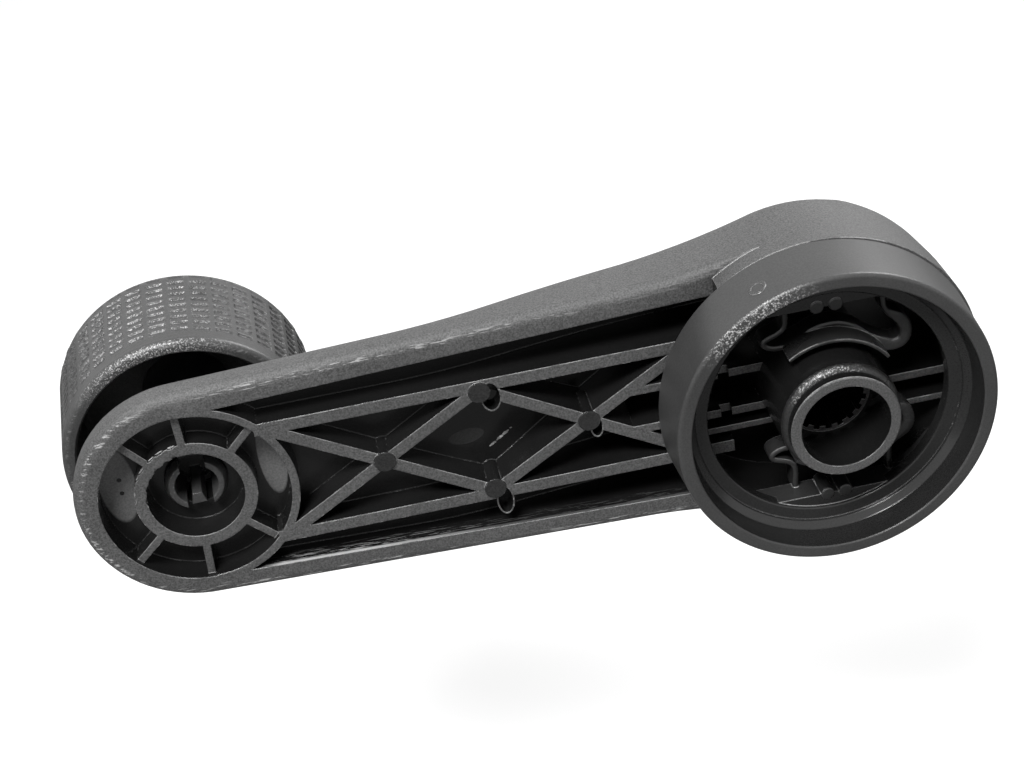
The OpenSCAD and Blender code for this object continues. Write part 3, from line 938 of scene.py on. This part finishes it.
def plastic_colour(nodes, surface, clouds, tone, grain, patches):
    """The plastic's grey: clouded and speckled with its grain, with pale or dark oval patches of painted
    light, painted shade and bright specks.
    """
    colour = nodes.mix(nodes.ramp(clouds, 0.3, 0.7), grey(tone * 0.88), grey(tone * 1.12))
    # Oval patches: painted light, painted shade and bright specks
    for *place, patch_tone in patches:
        colour = nodes.mix(nodes.oval(surface.where, *place), colour, grey(patch_tone))
    spread = 0.15 + 3 * grain
    speckle = nodes.ramp(nodes.noise(surface.where, SPECKLE, 1.0), 0.3, 0.7, 1 - spread, 1 + spread)
    tinted = nodes.add("ShaderNodeVectorMath", operation="SCALE")
    nodes.link(colour, tinted.inputs[0])
    nodes.link(speckle, tinted.inputs["Scale"])
    return tinted.outputs["Vector"]


def grain_bump(nodes, surface, grain, grain_size):
    """The grain's small hills on the softened edges, both sizes in mm."""
    bump = nodes.add("ShaderNodeBump")
    bump.inputs["Strength"].default_value = 1.0
    bump.inputs["Distance"].default_value = grain * MM
    nodes.link(nodes.noise(surface.where, 1 / (grain_size * MM), 3.0, 0.6), bump.inputs["Height"])
    nodes.link(surface.soft_normal, bump.inputs["Normal"])
    return bump.outputs["Normal"]


def plastic(name, tone, roughness, grain, grain_size, wear=1.0, edge=0.22, rubbed=0.0,
            line=0.0, patches=(), painted_glint_place=None, painted_scrape_highlight=0.0):
    """Black moulded plastic: fine grain, uneven gloss, softened edges with pale flecks of wear, and
    painted highlights.
    """
    material = bpy.data.materials.new(name)
    material.use_nodes = True
    nodes = Nodes(material.node_tree)
    shader = material.node_tree.nodes["Principled BSDF"]
    surface = Surface(nodes, edge)
    # Pale wear flecks and streaks, joined by painted highlights: edge lines, glints and scrape streaks
    wear_and_highlight = nodes.highest(edge_flecks(nodes, surface, wear), painted_edge_highlight(nodes, surface, line))
    if rubbed:
        wear_and_highlight = nodes.highest(wear_and_highlight, rubbed_streaks(nodes, surface, rubbed))
    if painted_glint_place:
        wear_and_highlight = nodes.highest(wear_and_highlight, painted_glints(nodes, surface, painted_glint_place))
    if painted_scrape_highlight:
        wear_and_highlight = nodes.highest(wear_and_highlight, painted_scrape_streaks(nodes, surface, painted_scrape_highlight))
    clouds = nodes.noise(surface.where, CLOUDS, 3.0, 0.6)
    colour = plastic_colour(nodes, surface, clouds, tone, grain, patches)
    # The wear and the painted highlights lighten the base colour here
    nodes.link(nodes.mix(wear_and_highlight, colour, grey(WEAR_AND_HIGHLIGHT_TONE)), shader.inputs["Base Color"])
    rough = nodes.ramp(clouds, 0.3, 0.7, roughness - 0.04, roughness + 0.05)
    rough = nodes.mix_number(nodes.product(surface.at_edge, 0.8), rough, 0.12)
    nodes.link(nodes.mix_number(wear_and_highlight, rough, 0.3), shader.inputs["Roughness"])
    nodes.link(grain_bump(nodes, surface, grain, grain_size), shader.inputs["Normal"])
    shader.inputs["IOR"].default_value = 1.5
    return material


def bright_streak_specks():
    """The bright streak's specks, spread unevenly between its ends."""
    specks = []
    for number in range(SPECKS):
        along = (number + CHANCE.uniform(-0.3, 0.3)) / (SPECKS - 1)
        x, z = (start + (end - start) * along for start, end in zip(*BRIGHT_STREAK))
        size = CHANCE.uniform(0.09, 0.24)
        specks.append((x, z, 1.6 * size, size, CHANCE.uniform(0.25, 0.7)))
    return specks


# In this table the line strengths, the ovals given last and the scrape strength set painted highlights
GRAINED = plastic("arm_grained", 0.086, 0.52, 0.09, 0.28, wear=1.3, edge=0.28, rubbed=0.8, line=1.0)
# The smooth plastic's patches: painted light on the pockets' floors and the floor, painted shade in
# dimples, and a bright streak of specks
SMOOTH = plastic("arm_smooth", 0.01, 0.22, 0.008, 0.4, wear=0.25, edge=0.3, painted_scrape_highlight=0.8,
                 patches=PAINTED_POCKET_LIGHT + PAINTED_DIMPLE_SHADE + [PAINTED_FLOOR_LIGHT] + bright_streak_specks())
# A darker copy of the grained plastic: painted shade on the boss's shoulder under the ring, and the
# posts' darker ends
DARK_AND_SHADED_GRAIN = plastic("arm_dark_and_shaded_grain", 0.022, 0.3, 0.1, 0.3, wear=0.5, painted_glint_place=(-3.2, 7.3, 7.0, 4.5))
RING = plastic("ring_satin", 0.05, 0.36, 0.014, 0.3, wear=0.8, painted_glint_place=(-11.5, 17.5, 11.0, 6.5))
RING_IN = plastic("ring_glossy", 0.018, 0.18, 0.01, 0.3, line=0.5)
SPRING = plastic("spring_satin", 0.03, 0.28, 0.012, 0.3, line=0.8)
KNOB = plastic("knob_satin", 0.055, 0.36, 0.03, 0.3, rubbed=0.35, painted_glint_place=(-90.0, 19.0, 17.0, 10.0))

dress(build_arm(GRAINED, SMOOTH, DARK_AND_SHADED_GRAIN), "arm", "crank_arm")
dress(build_ring(RING, RING_IN, SPRING), "ring", "lock_ring")
dress(build_knob(KNOB), "knob", "knob")


# Stage, in metres

FLOOR_Z = -0.10
FLOOR_SIZE = 3.0
FLOOR_TONE = 0.5
# What the camera sees of the floor beside its lamp light, and what reflections see of it
FLOOR_GLOW = 0.65
FLOOR_REFLECTED = 0.25
AMBIENT = 0.05
# Soft lamps: name, place, the point it is aimed at, width and height, power in watts
LAMPS = [("key", (-0.3, -0.39, 0.69), (-0.04, 0.01, 0.0), (0.4, 0.2), 9.3),
         ("side", (0.45, 0.3, 0.5), (0.0, 0.01, 0.0), (0.35, 0.35), 4.0)]
# Camera: focal length in pixels of the frame, and turn in degrees about X, Y and Z
FRAME_WIDTH = 1024
SENSOR_WIDTH = 36.0
CAMERA_FOCAL = 1857.4
CAMERA_PLACE = (-0.05601, -0.19643, 0.13410)
CAMERA_TURN = (58.7333, 7.8530, -8.8190)


def seen_rays(nodes, *kinds):
    """One for the rays of the given kinds, and nothing for the others."""
    path = nodes.add("ShaderNodeLightPath")
    return nodes.highest(*(path.outputs["Is " + kind + " Ray"] for kind in kinds))


def glow(nodes, strength):
    emission = nodes.add("ShaderNodeEmission")
    nodes.feed(emission.inputs["Strength"], strength)
    return emission.outputs["Emission"]


def build_floor():
    """A wide sheet well below the object, white where it is lit, which keeps the object's shadow."""
    bm = bmesh.new()
    bmesh.ops.create_grid(bm, x_segments=1, y_segments=1, size=FLOOR_SIZE)
    bmesh.ops.translate(bm, verts=bm.verts, vec=Vector((0, 0, FLOOR_Z)))
    material = bpy.data.materials.new("floor_white")
    material.use_nodes = True
    nodes = Nodes(material.node_tree)
    shader = material.node_tree.nodes["Principled BSDF"]
    shader.inputs["Base Color"].default_value = grey(FLOOR_TONE)
    shader.inputs["Roughness"].default_value = 0.9
    seen = seen_rays(nodes, "Camera", "Transmission")
    lit = nodes.add("ShaderNodeAddShader")
    nodes.link(shader.outputs["BSDF"], lit.inputs[0])
    nodes.link(glow(nodes, nodes.product(seen, FLOOR_GLOW)), lit.inputs[1])
    mixer = nodes.add("ShaderNodeMixShader")
    nodes.link(seen_rays(nodes, "Glossy"), mixer.inputs["Fac"])
    nodes.link(lit.outputs["Shader"], mixer.inputs[1])
    nodes.link(glow(nodes, FLOOR_REFLECTED), mixer.inputs[2])
    nodes.link(mixer.outputs["Shader"], material.node_tree.nodes["Material Output"].inputs["Surface"])
    to_object(bm, "floor", material)


def build_world():
    """Even light from all around, white to the camera and to reflections."""
    world = bpy.data.worlds.new("studio")
    world.use_nodes = True
    bpy.context.scene.world = world
    nodes = Nodes(world.node_tree)
    background = world.node_tree.nodes["Background"]
    background.inputs["Color"].default_value = grey(1.0)
    seen = seen_rays(nodes, "Camera", "Glossy", "Transmission")
    nodes.link(nodes.ramp(seen, 0.0, 1.0, AMBIENT, 1.0), background.inputs["Strength"])


def build_lamp(name, place, aim, size, power):
    data = bpy.data.lights.new(name, "AREA")
    data.shape = "RECTANGLE"
    data.size, data.size_y = size
    data.energy = power
    lamp = bpy.data.objects.new(name, data)
    lamp.location = place
    lamp.rotation_euler = (Vector(aim) - Vector(place)).to_track_quat("-Z", "Y").to_euler()
    bpy.context.scene.collection.objects.link(lamp)


def build_camera():
    data = bpy.data.cameras.new("camera")
    data.sensor_width = SENSOR_WIDTH
    data.lens = CAMERA_FOCAL * SENSOR_WIDTH / FRAME_WIDTH
    data.clip_start, data.clip_end = 0.01, 20.0
    camera = bpy.data.objects.new("camera", data)
    camera.location = CAMERA_PLACE
    camera.rotation_euler = [math.radians(angle) for angle in CAMERA_TURN]
    bpy.context.scene.collection.objects.link(camera)
    bpy.context.scene.camera = camera


build_floor()
build_world()
for lamp_values in LAMPS:
    build_lamp(*lamp_values)
build_camera()
bpy.context.scene.view_settings.view_transform = "Standard"
